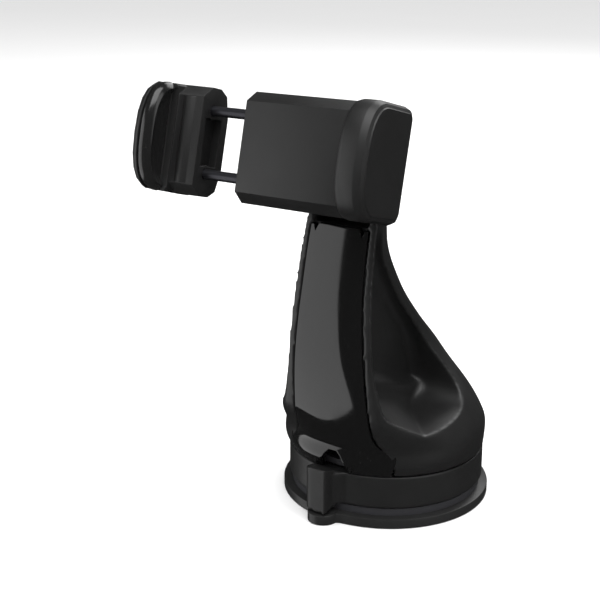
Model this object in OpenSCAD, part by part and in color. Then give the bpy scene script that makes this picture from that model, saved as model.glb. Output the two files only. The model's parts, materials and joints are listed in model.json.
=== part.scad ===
// Car phone mount: a twist-lock suction foot, a tall arm, and a sprung phone clamp on a tilt and swivel.
// Origin: centre of the gel pad's underside. +Z up, the phone faces -Y, sizes in millimetres.

/* [Part shown] */
// One node's name, or all of them

/* [Suction foot] */
// Diameter of the gel pad
pad_d = 76; // [60:1:90]
// Thickness of the gel pad
pad_t = 3.65; // [2:0.05:6]
// Diameter of the foot plate under the twist ring
plate_d = 69.6; // [55:0.2:85]
// Diameter of the twist ring
ring_d = 71.6; // [57:0.2:87]
// Height of the twist ring's lower edge
ring_low = 6.6; // [5:0.1:9]
// Height of the twist ring's upper edge
ring_high = 18.6; // [14:0.1:24]
// Turn of the thumb paddle from the front
paddle_turn = -5.5; // [-20:0.5:20]
// Rise of the pad's centre when locked
lift = 2.5; // [1:0.1:4]

/* [Arm] */
// Height of the lower edge of the slot in the front cover
slot_low = 106.5; // [100:0.5:112]
// Thickness of the glossy front cover
cover_t = 2; // [1.2:0.1:3]
// Radius of the tilt barrel
barrel_r = 6.5; // [5:0.1:8]
// Radius of the tilt pin
tilt_pin_r = 2; // [1.5:0.1:3]

/* [Clamp] */
// Lean of the clamp's face from upright
lean = 14.5; // [-4:0.5:60]
// Half the height of the clamp block
block_half = 18.6; // [15:0.1:24]
// Depth of the clamp block behind its face
block_depth = 15.1; // [12:0.1:20]
// Gap between the sliding jaw and the block
rod_gap = 17.8; // [0.4:0.1:25]
// Radius of the slide rods
rod_r = 1.75; // [1.2:0.05:2.5]
// Half the distance between the slide rods
rod_half = 10.8; // [8:0.1:13]
// How far the jaws stand in front of the face
jaw_front = 12.8; // [8:0.1:18]

/* [Hidden] */
$fn = 96;
hull_fn = 32;
sheet = 0.04;
gap = 0.3;
black_matte = [0.07, 0.07, 0.075];
black_gloss = [0.03, 0.03, 0.035];
black_soft = [0.1, 0.1, 0.105];
steel_dark = [0.22, 0.22, 0.23];
steel = [0.6, 0.6, 0.62];

// suction foot
pad_r = pad_d / 2;
plate_r = plate_d / 2;
ring_r = ring_d / 2;
ring_in = 31;
plate_top = ring_low - gap;
body_low = ring_high + gap;
hub_r = 22;
hub_wall = 3.5;
hub_web = 2.2;
web_low = body_low - hub_web;
flange_r = 31.6;
flange_t = 2.2;
centre_r = 12;
centre_clear = 0.4;
stem_r = 5;
stem_clear = 0.3;
stem_collar_r = 9;
stem_collar_low = 5.6;
stem_collar_high = 8;
membrane = 1;
stem_top = 24;
cross_pin_r = 1.5;
cross_pin_half = 28;
cross_pin_z = 13.2;
spring_wire = 0.8;
plunger_spring_r = 7;
plunger_turns = 2;
plunger_wire = 0.4;
coil_steps = 16;
cam_in = 22.4;
cam_base = 1.6;
cam_steps = 6;
cam_sweep = 66;
foot_screw_ring = 27;
foot_screw_r = 1.4;
foot_head_r = 2.7;
tab_r = 5.4;
tab_reach = 38.6;
tab_turn = -4.6;
paddle_reach = 43;
paddle_edge = 2.4;
paddle_half = 4.9;
paddle_low = 4.5;
paddle_high = 21.4;

// height and value pairs along the arm
front_line = [[18.6, -35.8], [27, -37.1], [40, -39.6], [58, -41.4], [75, -40.8], [90, -38.6], [105, -35.2],
    [118, -31.2]];
rear_line = [[18.6, 35.8], [25, 35.5], [30, 35.2], [40, 30.8], [55, 19.4], [70, 3.4], [85, -11],
    [100, -20], [118, -19.9]];
belly_line = [[18.6, 35.8], [25, 36.9], [30, 36.1], [40, 30], [50, 22.4], [60, 16.4], [75, 13.8],
    [90, 13], [118, 12.7]];
cap_line = [[18.6, 35.8], [25, 36.9], [40, 31.5], [50, 24.4], [60, 13], [75, 8], [90, 5], [118, 4.5]];
edge_line = [[18.6, 19.3], [26, 21.7], [33, 20.8], [40, 19.4], [50, 18], [60, 16.8], [75, 15.9],
    [90, 15], [105, 14.1], [118, 12.9]];
seam_line = [[18, 19.2], [26.5, 21.7], [29.9, 17], [33.5, 15.2], [40, 14.8], [50, 14.2], [60, 13.6],
    [72, 12.7], [85, 11.8], [100, 11.3], [111.5, 10.8]];
arm_heights = [18.9, 21, 23, 25, 27, 30, 33, 36, 40, 44, 48, 53, 58, 64, 71, 78, 85, 92, 99, 106, 112];
hollow_front = [[34.2, -28], [35.2, -33], [38, -35.6], [42, -36.6], [50, -37.4], [58, -38.3], [75, -37.7],
    [90, -35.5], [105, -32.1], [118, -28.1]];
hollow_rear = [[34.2, -24], [34.8, -17], [36.2, -7.8], [38, -1.5], [41, 2.6], [45, 3.8], [52, 2], [64, -4],
    [76, -13.9], [85, -20.7], [94, -26], [100, -27.2], [118, -26.6]];
hollow_heights = [34.2, 34.8, 36.2, 38, 41, 44, 47, 50, 54, 58, 64, 70, 76, 82, 88, 94, 100, 107, 114];
hollow_web = 8.4;
hollow_flare = 1.1;
hollow_fade = 0.42;
hollow_out = 48;
ridge_mid = 50.5;
ridge_slant = 0.36;
ridge_y = -19;
front_crown = 1.6;
foot_low = 22;
foot_high = 30;
round_low = 27;
round_high = 42;
seam_gap = 0.15;
cover_back = [[-60, 17], [-27, 17], [-27, 28], [-34, 50], [-35, 62], [-33, 90], [-28.6, 112], [-60, 112]];
tongue_in = 9.7;

// tilt and swivel
face_y = -46.9;
face_z = 131.7;
tilt_depth = 24;
tilt_y = face_y + tilt_depth * cos(lean);
tilt_z = face_z - tilt_depth * sin(lean);
ear_r = 7.5;
ear_half = 12.9;
slot_half = 10.6;
barrel_half = 9.7;
tilt_fit = 0.06;
cap_r = 3.6;
cap_t = 0.8;
disc_r = 9;
disc_t = 1.8;
spigot_r = 4;
spigot_fit = 0.05;
boss_r = 7.2;
boss_front = 10;
washer_r = 6.5;
washer_t = 0.9;
swivel_head_r = 3.4;
swivel_head_t = 2.2;

// clamp
block_left = -30.7;
block_right = 13.8;
split_depth = 9;
clamp_wall = 2.2;
end_wall = 2.6;
chamfer_v = 3.55;
chamfer_d = 4.8;
rod_depth = 6.3;
rod_tip = -8.6;
bush_r = 3;
bush_long = 4;
rod_fit = 0.07;
rod_head_r = 3.1;
rod_head_t = 1.5;
rod_spring_r = 2.6;
rod_turns = 9;
screw_u = [-20, 9.5];
screw_half = 4.4;
screw_r = 1.2;
screw_head_r = 2.3;
pillar_r = 2.2;
jaw_end = block_left - rod_gap;
plate_inner_l = -59.2;
plate_outer_l = -68.4;
plate_outer_r = 23.7;
jaw_half = 19;
jaw_back = 16.8;
jaw_corner = 3.2;
jaw_bow = 2.5;
outer_inset = 2.3;
pad_inset = 1.7;
pad_depth = 2.6;
rib_r = 3.3;

// ---- helpers ----

// which stretch of a height and value list holds a height
function stretch(k, z, i = 0) = (i >= len(k) - 2 || z < k[i + 1][0]) ? i : stretch(k, z, i + 1);

function rise(k, i, j) = (k[j][1] - k[i][1]) / (k[j][0] - k[i][0]);

function slope(k, i) = rise(k, max(0, i - 1), min(len(k) - 1, i + 1));

function ease(a, b, ma, mb, t) =
    (2 * t ^ 3 - 3 * t ^ 2 + 1) * a + (t ^ 3 - 2 * t ^ 2 + t) * ma
    + (3 * t ^ 2 - 2 * t ^ 3) * b + (t ^ 3 - t ^ 2) * mb;

// smooth curve through a height and value list
function along(k, z) =
    let (i = stretch(k, z), h = k[i + 1][0] - k[i][0], t = max(0, min(1, (z - k[i][0]) / h)))
    ease(k[i][1], k[i + 1][1], slope(k, i) * h, slope(k, i + 1) * h, t);

function smooth_step(z) =
    let (t = max(0, min(1, (z - round_low) / (round_high - round_low))))
    3 * t ^ 2 - 2 * t ^ 3;

// right half of the arm's outline at one height, from the front centre to the rear centre
function half_outline(z, inset) =
    let (
        belly = along(belly_line, z) - inset,
        cap = along(cap_line, z) - inset,
        centre = along(rear_line, z) - along(cap_line, z),
        edge = along(edge_line, z) - inset,
        front = along(front_line, z) + inset,
        m = smooth_step(z),
        lead = (front - centre + belly) * max(0, min(1, (z - foot_low) / (foot_high - foot_low))),
        start = asin(min(0.99, edge / belly))
    )
    concat(
        [for (s = [0:0.2:1]) let (x = edge * s)
            [x, m * (front + front_crown * s ^ 2)
                + (1 - m) * (centre + lead - sqrt(max(0, belly ^ 2 - x ^ 2)))]],
        [for (t = [15:15:90]) let (a = start + (90 - start) * t / 90)
            [m * (edge + (belly - edge) * sin(t)) + (1 - m) * belly * sin(a),
            m * (centre - (centre - front - front_crown) * cos(t))
                + (1 - m) * (centre + lead * cos(t) - belly * cos(a))]],
        [for (t = [75:-15:0]) [belly * sin(t), centre + cap * cos(t)]]
    );

function mirrored(p) = concat(p, [for (i = [len(p) - 2:-1:1]) [-p[i][0], p[i][1]]]);

module arm_slice(z, inset) {
    translate([0, 0, z])
        linear_extrude(sheet)
            polygon(mirrored(half_outline(z, inset)));
}

// closed skin through a stack of outlines that run anticlockwise and have equal numbers of points
module loft(outlines, heights) {
    n = len(outlines[0]);
    top = len(outlines) - 1;
    polyhedron(
        points = [for (i = [0:top]) for (p = outlines[i]) [p[0], p[1], heights[i]]],
        faces = concat(
            [[for (k = [0:n - 1]) k]],
            [[for (k = [n - 1:-1:0]) top * n + k]],
            [for (i = [0:top - 1]) for (k = [0:n - 1]) [i * n + k, i * n + n + k, i * n + n + (k + 1) % n]],
            [for (i = [0:top - 1]) for (k = [0:n - 1]) [i * n + k, i * n + n + (k + 1) % n, i * n + (k + 1) % n]]
        ),
        convexity = 6
    );
}

// the arm's smooth outer form, or the same form set in by a wall
module arm_form(inset = 0) {
    loft([for (z = arm_heights) mirrored(half_outline(z, inset))], arm_heights);
}

// a side profile, given as depth and height pairs, extruded along X
module side_profile(points, x_from, x_to) {
    translate([x_from, 0, 0])
        rotate([90, 0, 90])
            linear_extrude(x_to - x_from)
                polygon(points);
}

// a front profile, given as X and height pairs, extruded along Y
module front_profile(points, y_from, y_to) {
    translate([0, y_to, 0])
        rotate([90, 0, 0])
            linear_extrude(y_to - y_from)
                polygon(points);
}

module along_x(x_from, x_to, r) {
    translate([x_from, 0, 0])
        rotate([0, 90, 0])
            cylinder(h = x_to - x_from, r = r);
}

module along_y(y_from, y_to, r) {
    translate([0, y_from, 0])
        rotate([-90, 0, 0])
            cylinder(h = y_to - y_from, r = r);
}

module coil(length, r, turns, wire) {
    sides = 6;
    steps = coil_steps * turns;
    points = [
        for (i = [0:steps])
            for (k = [0:sides - 1])
                let (turn = 360 * turns * i / steps, side = 360 * k / sides)
                let (out = r + wire / 2 * cos(side))
                [out * cos(turn), out * sin(turn), length * i / steps + wire / 2 * sin(side)]
    ];
    skin = [
        for (i = [0:steps - 1])
            for (k = [0:sides - 1])
                let (a = i * sides + k, b = i * sides + (k + 1) % sides)
                each [[a, b + sides, a + sides], [a, b, b + sides]]
    ];
    first = [for (k = [sides - 1:-1:0]) k];
    last = [for (k = [0:sides - 1]) steps * sides + k];
    polyhedron(points, concat(skin, [first, last]));
}

// the clamp's own frame: X across, Y is depth behind the face, Z up the face
module on_clamp() {
    translate([0, face_y, face_z])
        rotate([-lean, 0, 0])
            children();
}

module at_rods() {
    for (s = [-1, 1])
        translate([0, rod_depth, s * rod_half])
            children();
}

module at_clamp_screws() {
    for (u = screw_u)
        for (s = [-1, 1])
            translate([u, 0, s * screw_half])
                children();
}

module at_foot_screws() {
    for (a = [45:90:315])
        rotate(a)
            translate([foot_screw_ring, 0, 0])
                children();
}

// ---- suction foot ----

module gel_pad() {
    color(black_soft)
        difference() {
            union() {
                cylinder(h = pad_t, r = pad_r);
                rotate(tab_turn)
                    translate([0, -tab_reach, 0])
                        cylinder(h = pad_t, r = tab_r);
            }
            translate([0, 0, membrane])
                cylinder(h = pad_t, r = centre_r + centre_clear);
        }
}

module foot_plate() {
    color(black_matte)
        difference() {
            translate([0, 0, pad_t])
                cylinder(h = plate_top - pad_t, r = plate_r);
            cylinder(h = ring_low, r = centre_r + centre_clear);
        }
}

module foot_hub() {
    slot_z = cross_pin_z - lift - cross_pin_r - gap;
    color(black_matte)
        difference() {
            union() {
                translate([0, 0, plate_top])
                    cylinder(h = body_low - plate_top, r = hub_r);
                translate([0, 0, body_low])
                    cylinder(h = flange_t, r = flange_r);
            }
            cylinder(h = web_low, r = hub_r - hub_wall);
            cylinder(h = 40, r = stem_r + stem_clear);
            translate([-hub_r - 1, -cross_pin_r - gap, slot_z])
                cube([2 * hub_r + 2, 2 * (cross_pin_r + gap), lift + 2 * cross_pin_r + 2 * gap]);
            at_foot_screws()
                cylinder(h = 40, r = foot_screw_r + 0.2);
        }
}

module foot_screws() {
    color(steel)
        at_foot_screws() {
            translate([0, 0, body_low - 1.6])
                cylinder(h = 1.6, r = foot_head_r);
            translate([0, 0, body_low])
                cylinder(h = 8.5, r = foot_screw_r);
        }
}

module twist_ring() {
    tip = paddle_reach - paddle_edge;
    color(black_matte) {
        difference() {
            translate([0, 0, ring_low])
                cylinder(h = ring_high - ring_low, r = ring_r);
            cylinder(h = 40, r = ring_in);
        }
        rotate(paddle_turn) {
            intersection() {
                hull() {
                    for (s = [-1, 1])
                        translate([s * (paddle_half - paddle_edge), -tip, paddle_low])
                            cylinder(h = ring_high - paddle_low, r = paddle_edge, $fn = hull_fn);
                    translate([-paddle_half - 1, -ring_r + 2.2, ring_low])
                        cube([2 * paddle_half + 2, 1, ring_high - ring_low]);
                }
                difference() {
                    translate([0, 0, paddle_low])
                        cylinder(h = 40, r = paddle_reach + 1);
                    cylinder(h = ring_low, r = ring_r + 0.4);
                }
            }
            hull() {
                for (s = [-1, 1])
                    translate([s * (paddle_half - paddle_edge), -tip, ring_high - 1])
                        cylinder(h = paddle_high - ring_high, r = paddle_edge, $fn = hull_fn);
                translate([-paddle_half + 1, -tip - 1, paddle_high - 0.8])
                    cube([2 * paddle_half - 2, 2.4, 0.8]);
            }
        }
    }
}

// ramp under the cross pin, low at one end and high at the other
module cam_ramp() {
    step = cam_sweep / cam_steps;
    top = cross_pin_z - cross_pin_r - gap;
    for (i = [0:cam_steps - 1])
        hull()
            for (j = [i, i + 1])
                rotate(-4 - j * step)
                    translate([cam_in + 0.2, 0, ring_low + 0.5])
                        cube([6, sheet, top - lift * max(0, j * step - 4) / cam_sweep - ring_low - 0.5]);
}

module cam_ring() {
    color(black_matte) {
        difference() {
            translate([0, 0, ring_low])
                cylinder(h = cam_base, r = ring_in - 0.02);
            cylinder(h = 40, r = cam_in);
        }
        for (a = [8, 188])
            rotate(a)
                cam_ramp();
    }
}

module pad_centre() {
    low = membrane + lift + 0.1;
    color(black_soft)
        translate([0, 0, low])
            cylinder(h = stem_collar_low - low, r = centre_r);
}

module plunger_stem() {
    color(black_matte)
        difference() {
            union() {
                translate([0, 0, stem_collar_low])
                    cylinder(h = stem_collar_high - stem_collar_low, r = stem_collar_r);
                translate([0, 0, stem_collar_high])
                    cylinder(h = stem_top - stem_collar_high, r = stem_r);
            }
            translate([0, 0, cross_pin_z])
                along_x(-stem_r - 1, stem_r + 1, cross_pin_r);
        }
}

module cross_pin() {
    color(steel)
        translate([0, 0, cross_pin_z])
            along_x(-cross_pin_half, cross_pin_half, cross_pin_r);
}

module plunger_spring() {
    low = cross_pin_z + cross_pin_r + gap / 3 + plunger_wire / 2;
    high = web_low - plunger_wire / 2;
    color(steel)
        translate([0, 0, low])
            coil(high - low, plunger_spring_r, plunger_turns, plunger_wire);
}

// ---- arm ----

// outline of the front cover, seen from the front, grown by a gap
module cover_space(grow) {
    right = [for (p = seam_line) [p[1] + grow, p[0]]];
    left = [for (i = [len(right) - 1:-1:0]) [-right[i][0], right[i][1]]];
    intersection() {
        front_profile(concat(right, left), -60, -20);
        side_profile(cover_back, -40, 40);
    }
}

// arch at the foot of the front cover, over the ring
module arch(y_from, y_to) {
    front_profile([[-5.3, 18], [-5.3, 20.5], [-4.6, 23], [-3.2, 25.4], [-1.5, 27], [1.5, 27],
        [3.2, 25.4], [4.6, 22], [5.3, 18]], y_from, y_to);
}

// space for the tilt barrel, its arm, and the swing of both
module tilt_space() {
    translate([-slot_half, face_y - 20, slot_low])
        cube([2 * slot_half, tilt_y - face_y + 20, 60]);
    translate([0, tilt_y, tilt_z])
        along_x(-slot_half, slot_half, barrel_r + 0.6);
    translate([-slot_half, tilt_y - 0.1, tilt_z])
        cube([2 * slot_half, 30, 30]);
}

// height of the slanting ridge in the arm's side hollow
function ridge(y) = ridge_mid + ridge_slant * (ridge_y - y);

// how far out the hollow's floor lies
function hollow_floor(y, z) = hollow_web + hollow_flare * max(0, ridge(y) - z) + hollow_fade * max(0, z - 99);

// the hollow at one height, as X and Y pairs, with round inner corners
function hollow_slice(z) =
    let (
        f = along(hollow_front, z),
        r = along(hollow_rear, z),
        w = r - f,
        step = min(4, w / 2.5)
    )
    concat(
        [[hollow_out, r]],
        [for (k = [[0, 3.4], [0.12, 1.9], [0.38, 0.7], [1, 0]])
            [hollow_floor(r - step * k[0], z) + k[1], r - step * k[0]]],
        [for (k = [[1, 0], [0.38, 0.7], [0.12, 1.9], [0, 3.4]])
            [hollow_floor(f + step * k[0], z) + k[1], f + step * k[0]]],
        [[hollow_out, f]]
    );

// teardrop hollow in the arm's side, above and below its slanting ridge
module side_hollow() {
    loft([for (z = hollow_heights) hollow_slice(z)], hollow_heights);
}

module foot_space() {
    rotate_extrude()
        polygon([[0, 18], [33.3, 18], [33.3, 26], [28, 29.5], [17, 33.5], [10.5, 37.5], [5, 42], [0, 42]]);
}

module core_space() {
    side_profile([[-37.6, 40], [-38.8, 58], [-38.2, 75], [-35.9, 90], [-32.4, 105], [-29, 110],
        [-24, 110], [-22.6, 100], [-14, 86], [0, 70], [9, 60], [12, 50], [0, 40]], -6, 6);
}

module arm_frame() {
    color(black_matte)
        difference() {
            union() {
                arm_form();
                hull() {
                    arm_slice(111.4, 0.25);
                    translate([0, tilt_y, tilt_z])
                        along_x(-ear_half, ear_half, ear_r, $fn = hull_fn);
                }
            }
            difference() {
                cover_space(seam_gap);
                arm_form(cover_t + seam_gap);
            }
            side_hollow();
            mirror([1, 0, 0])
                side_hollow();
            difference() {
                foot_space();
                at_foot_screws()
                    cylinder(h = 60, r = 3.4, $fn = hull_fn);
            }
            at_foot_screws()
                cylinder(h = 29, r = foot_screw_r + 0.1, $fn = hull_fn);
            translate([0, 0, body_low - 1])
                cylinder(h = flange_t + 1, r = flange_r + gap);
            core_space();
            tilt_space();
            arch(-60, -32);
            translate([0, tilt_y, tilt_z]) {
                along_x(-20, 20, tilt_pin_r + 0.15, $fn = hull_fn);
                for (s = [-1, 1])
                    translate([s * (ear_half + 5 - cap_t), 0, 0])
                        along_x(-5, 5, cap_r + 0.1, $fn = hull_fn);
            }
        }
}

module front_cover() {
    color(black_gloss)
        difference() {
            intersection() {
                arm_form();
                cover_space(0);
            }
            arm_form(cover_t);
            front_profile([[-tongue_in, 130], [-tongue_in, slot_low - 1.6], [-9, slot_low - 3.2],
                [-7.7, slot_low], [7.7, slot_low], [9, slot_low - 3.2],
                [tongue_in, slot_low - 1.6], [tongue_in, 130]], -60, 0);
            arch(-60, 0);
        }
}

module tilt_pin() {
    color(steel)
        translate([0, tilt_y, tilt_z])
            along_x(-ear_half + cap_t, ear_half - cap_t, tilt_pin_r);
}

module pin_caps() {
    color(black_matte)
        translate([0, tilt_y, tilt_z]) {
            along_x(-ear_half, -ear_half + cap_t, cap_r);
            along_x(ear_half - cap_t, ear_half, cap_r);
        }
}

// ---- tilt knuckle and swivel ----

module friction_washers() {
    color(steel)
        translate([0, tilt_y, tilt_z])
            for (s = [-1, 1])
                scale([s, 1, 1])
                    difference() {
                        along_x(barrel_half, slot_half - 0.15, barrel_r - 0.6);
                        along_x(barrel_half - 1, slot_half + 1, tilt_pin_r + tilt_fit);
                    }
}

module tilt_knuckle() {
    disc_y = block_depth + 0.4;
    spigot_tip = boss_front - 0.05;
    color(black_matte)
        on_clamp()
            difference() {
                union() {
                    translate([0, tilt_depth, 0])
                        along_x(-barrel_half, barrel_half, barrel_r);
                    translate([-8, disc_y + disc_t - 0.1, -4.5])
                        cube([16, tilt_depth - disc_y - disc_t, 9]);
                    along_y(disc_y, disc_y + disc_t, disc_r);
                    along_y(spigot_tip, disc_y + 1, spigot_r);
                }
                translate([0, tilt_depth, 0])
                    along_x(-barrel_half - 1, barrel_half + 1, tilt_pin_r + tilt_fit);
                along_y(spigot_tip - 1, disc_y + 2.5, 1.5);
            }
}

module swivel_washer() {
    low = boss_front - 0.05 - washer_t;
    color(steel)
        on_clamp()
            difference() {
                along_y(low, low + washer_t, washer_r);
                along_y(low - 1, low + 2, 1.5);
            }
}

module swivel_screw() {
    low = boss_front - 0.05 - washer_t;
    color(steel)
        on_clamp() {
            along_y(low - swivel_head_t, low, swivel_head_r);
            along_y(low - 0.1, block_depth + 2.9, 1.5);
        }
}

// ---- clamp ----

// the block's outline, as depth and height pairs, set in by a wall
function block_outline(inset) =
    let (
        h = block_half - inset,
        d = block_depth - inset,
        right = [[inset, h - chamfer_v], [chamfer_d, h], [9.4, h], [13, h - 2.1], [d, 9]]
    )
    concat(right, [for (i = [len(right) - 1:-1:0]) [right[i][0], -right[i][1]]]);

module block_bar(inset, x_from, x_to) {
    side_profile(block_outline(inset), x_from, x_to);
}

module behind(depth) {
    translate([-80, depth, -40])
        cube([160, 40, 80]);
}

module ahead(depth) {
    translate([-80, depth - 40, -40])
        cube([160, 40, 80]);
}

module clamp_front() {
    color(black_matte)
        on_clamp()
            difference() {
                union() {
                    difference() {
                        block_bar(0, block_left, block_right);
                        block_bar(clamp_wall, block_left + end_wall, block_right - end_wall);
                    }
                    at_clamp_screws()
                        along_y(1, split_depth, pillar_r);
                }
                behind(split_depth);
                at_rods()
                    along_x(block_left - 1, block_left + end_wall + 1, bush_r);
                at_clamp_screws()
                    along_y(4, split_depth + 1, screw_r);
            }
}

module clamp_rear() {
    color(black_matte)
        on_clamp()
            difference() {
                union() {
                    difference() {
                        block_bar(0, block_left, block_right);
                        block_bar(clamp_wall, block_left + end_wall, block_right - end_wall);
                        ahead(split_depth + 0.05);
                    }
                    at_clamp_screws()
                        along_y(split_depth + 0.05, block_depth - 1, pillar_r + 0.6);
                    along_y(boss_front, block_depth - 1, boss_r);
                }
                along_y(boss_front - 1, block_depth + 1, spigot_r + spigot_fit);
                at_rods()
                    along_x(block_left - 1, block_left + end_wall + bush_long, bush_r);
                at_clamp_screws() {
                    along_y(split_depth - 1, block_depth + 1, screw_r + 0.15);
                    along_y(block_depth - 1.9, block_depth + 1, screw_head_r + 0.1);
                }
            }
}

module clamp_screws() {
    color(steel)
        on_clamp()
            at_clamp_screws() {
                along_y(4.2, block_depth - 1.8, screw_r);
                along_y(block_depth - 1.85, block_depth - 0.3, screw_head_r);
            }
}

module rod_bushes() {
    color(black_soft)
        on_clamp()
            at_rods()
                difference() {
                    along_x(block_left + 0.2, block_left + bush_long, bush_r);
                    along_x(block_left - 1, block_left + bush_long + 1, rod_r + rod_fit);
                }
}

// quarter of a round corner
function corner(x, y, r, from) = [for (a = [0:15:90]) [x + r * cos(from + a), y + r * sin(from + a)]];

// bowed outline of a jaw plate, as depth and height pairs, set in from its edge
function jaw_outline(inset) =
    let (
        r = max(1.2, jaw_corner - inset / 2),
        back = jaw_back - inset,
        front = jaw_front - 0.3 - inset,
        half = jaw_half - inset
    )
    concat(
        corner(back - r, half - r, r, 0),
        [for (t = [72:-18:-72])
            [0.5 - front * cos(t) ^ (2 / jaw_bow), half * sign(t) * abs(sin(t)) ^ (2 / jaw_bow)]],
        corner(back - r, r - half, r, 270)
    );

// a jaw plate's body through pairs of a place across the clamp and an inset there
module jaw_form(stations) {
    outlines = [for (s = stations) jaw_outline(s[1])];
    places = [for (s = stations) s[0]];
    rotate([90, 0, 90])
        loft(outlines, places);
}

// a jaw's cupped body between its inner rim and its outer face
module jaw_cup(rim, face) {
    way = sign(face - rim);
    stations = [
        [rim, 0.7],
        [rim + way * 1.6, 0],
        [face - way * 3.2, 0],
        [face - way, outer_inset * 0.42],
        [face, outer_inset]
    ];
    jaw_form(way > 0 ? stations : [for (k = [4:-1:0]) stations[k]]);
}

// the pocket in a jaw's inner side that takes the soft pad
module jaw_pocket(rim, way, extra) {
    x_from = min(rim - way, rim + way * (pad_depth + extra));
    intersection() {
        side_profile(jaw_outline(pad_inset - extra), x_from, x_from + pad_depth + extra + 1);
        ahead(-0.6 + extra);
    }
}

module fixed_jaw() {
    color(black_matte)
        on_clamp()
            difference() {
                jaw_cup(block_right, plate_outer_r);
                jaw_pocket(block_right, 1, 0.15);
            }
}

module fixed_jaw_pad() {
    color(black_soft)
        on_clamp()
            difference() {
                intersection() {
                    jaw_form([
                        [block_right - 1.2, pad_inset + 0.8],
                        [block_right, pad_inset],
                        [block_right + pad_depth, pad_inset]
                    ]);
                    ahead(-0.6);
                }
                jaw_form([[block_right - 2, pad_inset + 2.4], [block_right + 0.6, pad_inset + 4.2]]);
            }
}

module sliding_jaw() {
    color(black_matte)
        on_clamp()
            difference() {
                union() {
                    jaw_cup(plate_inner_l, plate_outer_l);
                    block_bar(0, plate_inner_l - 4, jaw_end);
                    translate([(plate_inner_l + jaw_end) / 2 - 0.3, 2.1, -block_half + chamfer_v + 0.4])
                        cylinder(h = 2 * (block_half - chamfer_v) - 0.8, r = rib_r);
                }
                jaw_pocket(plate_inner_l, -1, 0.15);
                difference() {
                    translate([jaw_end - 3, 2.9, -8.2])
                        cube([4, 8.6, 16.4]);
                    at_rods()
                        along_x(jaw_end - 5, jaw_end + 1, 3);
                }
                at_rods()
                    along_x(plate_inner_l - 1, jaw_end + 1, rod_r);
            }
}

module sliding_jaw_pad() {
    color(black_gloss)
        on_clamp()
            difference() {
                intersection() {
                    jaw_form([
                        [plate_inner_l - pad_depth, pad_inset],
                        [plate_inner_l - 0.1, pad_inset],
                        [plate_inner_l + 0.9, pad_inset + 0.8]
                    ]);
                    ahead(-0.6);
                }
                jaw_form([[plate_inner_l - 1.2, pad_inset + 4.6], [plate_inner_l + 2, pad_inset + 2.2]]);
            }
}

module slide_rods() {
    color(steel_dark)
        on_clamp()
            at_rods()
                along_x(plate_inner_l - 1, rod_tip, rod_r);
}

module rod_nuts() {
    color(steel)
        on_clamp()
            at_rods()
                along_x(rod_tip, rod_tip + rod_head_t, rod_head_r);
}

module clamp_springs() {
    low = block_left + bush_long + spring_wire / 2;
    color(steel)
        on_clamp()
            at_rods()
                translate([low, 0, 0])
                    rotate([0, 90, 0])
                        coil(rod_tip - low - spring_wire / 2, rod_spring_r, rod_turns, spring_wire);
}

gel_pad();
foot_plate();
foot_hub();
foot_screws();
twist_ring();
cam_ring();
pad_centre();
plunger_stem();
cross_pin();
plunger_spring();
arm_frame();
front_cover();
tilt_pin();
pin_caps();
friction_washers();
tilt_knuckle();
swivel_washer();
swivel_screw();
clamp_front();
clamp_rear();
clamp_screws();
rod_bushes();
fixed_jaw();
fixed_jaw_pad();
sliding_jaw();
sliding_jaw_pad();
slide_rods();
rod_nuts();
clamp_springs();
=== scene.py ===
"""Car phone mount: moulded plastic pieces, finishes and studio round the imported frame."""

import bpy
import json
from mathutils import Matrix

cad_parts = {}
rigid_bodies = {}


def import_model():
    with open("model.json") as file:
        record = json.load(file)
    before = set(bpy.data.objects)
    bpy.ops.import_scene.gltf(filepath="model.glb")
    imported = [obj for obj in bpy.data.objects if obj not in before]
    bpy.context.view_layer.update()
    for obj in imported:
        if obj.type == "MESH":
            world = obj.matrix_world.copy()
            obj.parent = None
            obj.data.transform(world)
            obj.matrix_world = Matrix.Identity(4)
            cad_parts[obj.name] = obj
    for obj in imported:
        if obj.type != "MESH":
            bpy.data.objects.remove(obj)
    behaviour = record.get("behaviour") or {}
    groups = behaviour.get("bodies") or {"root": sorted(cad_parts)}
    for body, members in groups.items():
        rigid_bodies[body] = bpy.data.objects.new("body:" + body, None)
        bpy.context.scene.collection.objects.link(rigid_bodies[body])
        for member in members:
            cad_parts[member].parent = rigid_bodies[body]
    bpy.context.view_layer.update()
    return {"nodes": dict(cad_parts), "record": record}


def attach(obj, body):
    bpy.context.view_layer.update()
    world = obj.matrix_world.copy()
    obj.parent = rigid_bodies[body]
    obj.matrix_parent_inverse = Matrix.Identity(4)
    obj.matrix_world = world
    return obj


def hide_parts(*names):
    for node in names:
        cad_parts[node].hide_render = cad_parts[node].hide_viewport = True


bl_info = {
    "name": "Car Phone Mount",
    "version": (1, 0, 0),
    "blender": (4, 5, 0),
    "location": "View3D > Sidebar > Phone Mount",
    "description": "A suction phone mount: smooth moulded pieces, plastic and steel finishes, and a studio",
    "category": "Object",
}

import json
import math

import bmesh
import bpy
from mathutils import Matrix, Vector

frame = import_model()
MM = 0.001

# ---- sizes of the arm, in millimetres: height and value pairs ----

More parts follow.
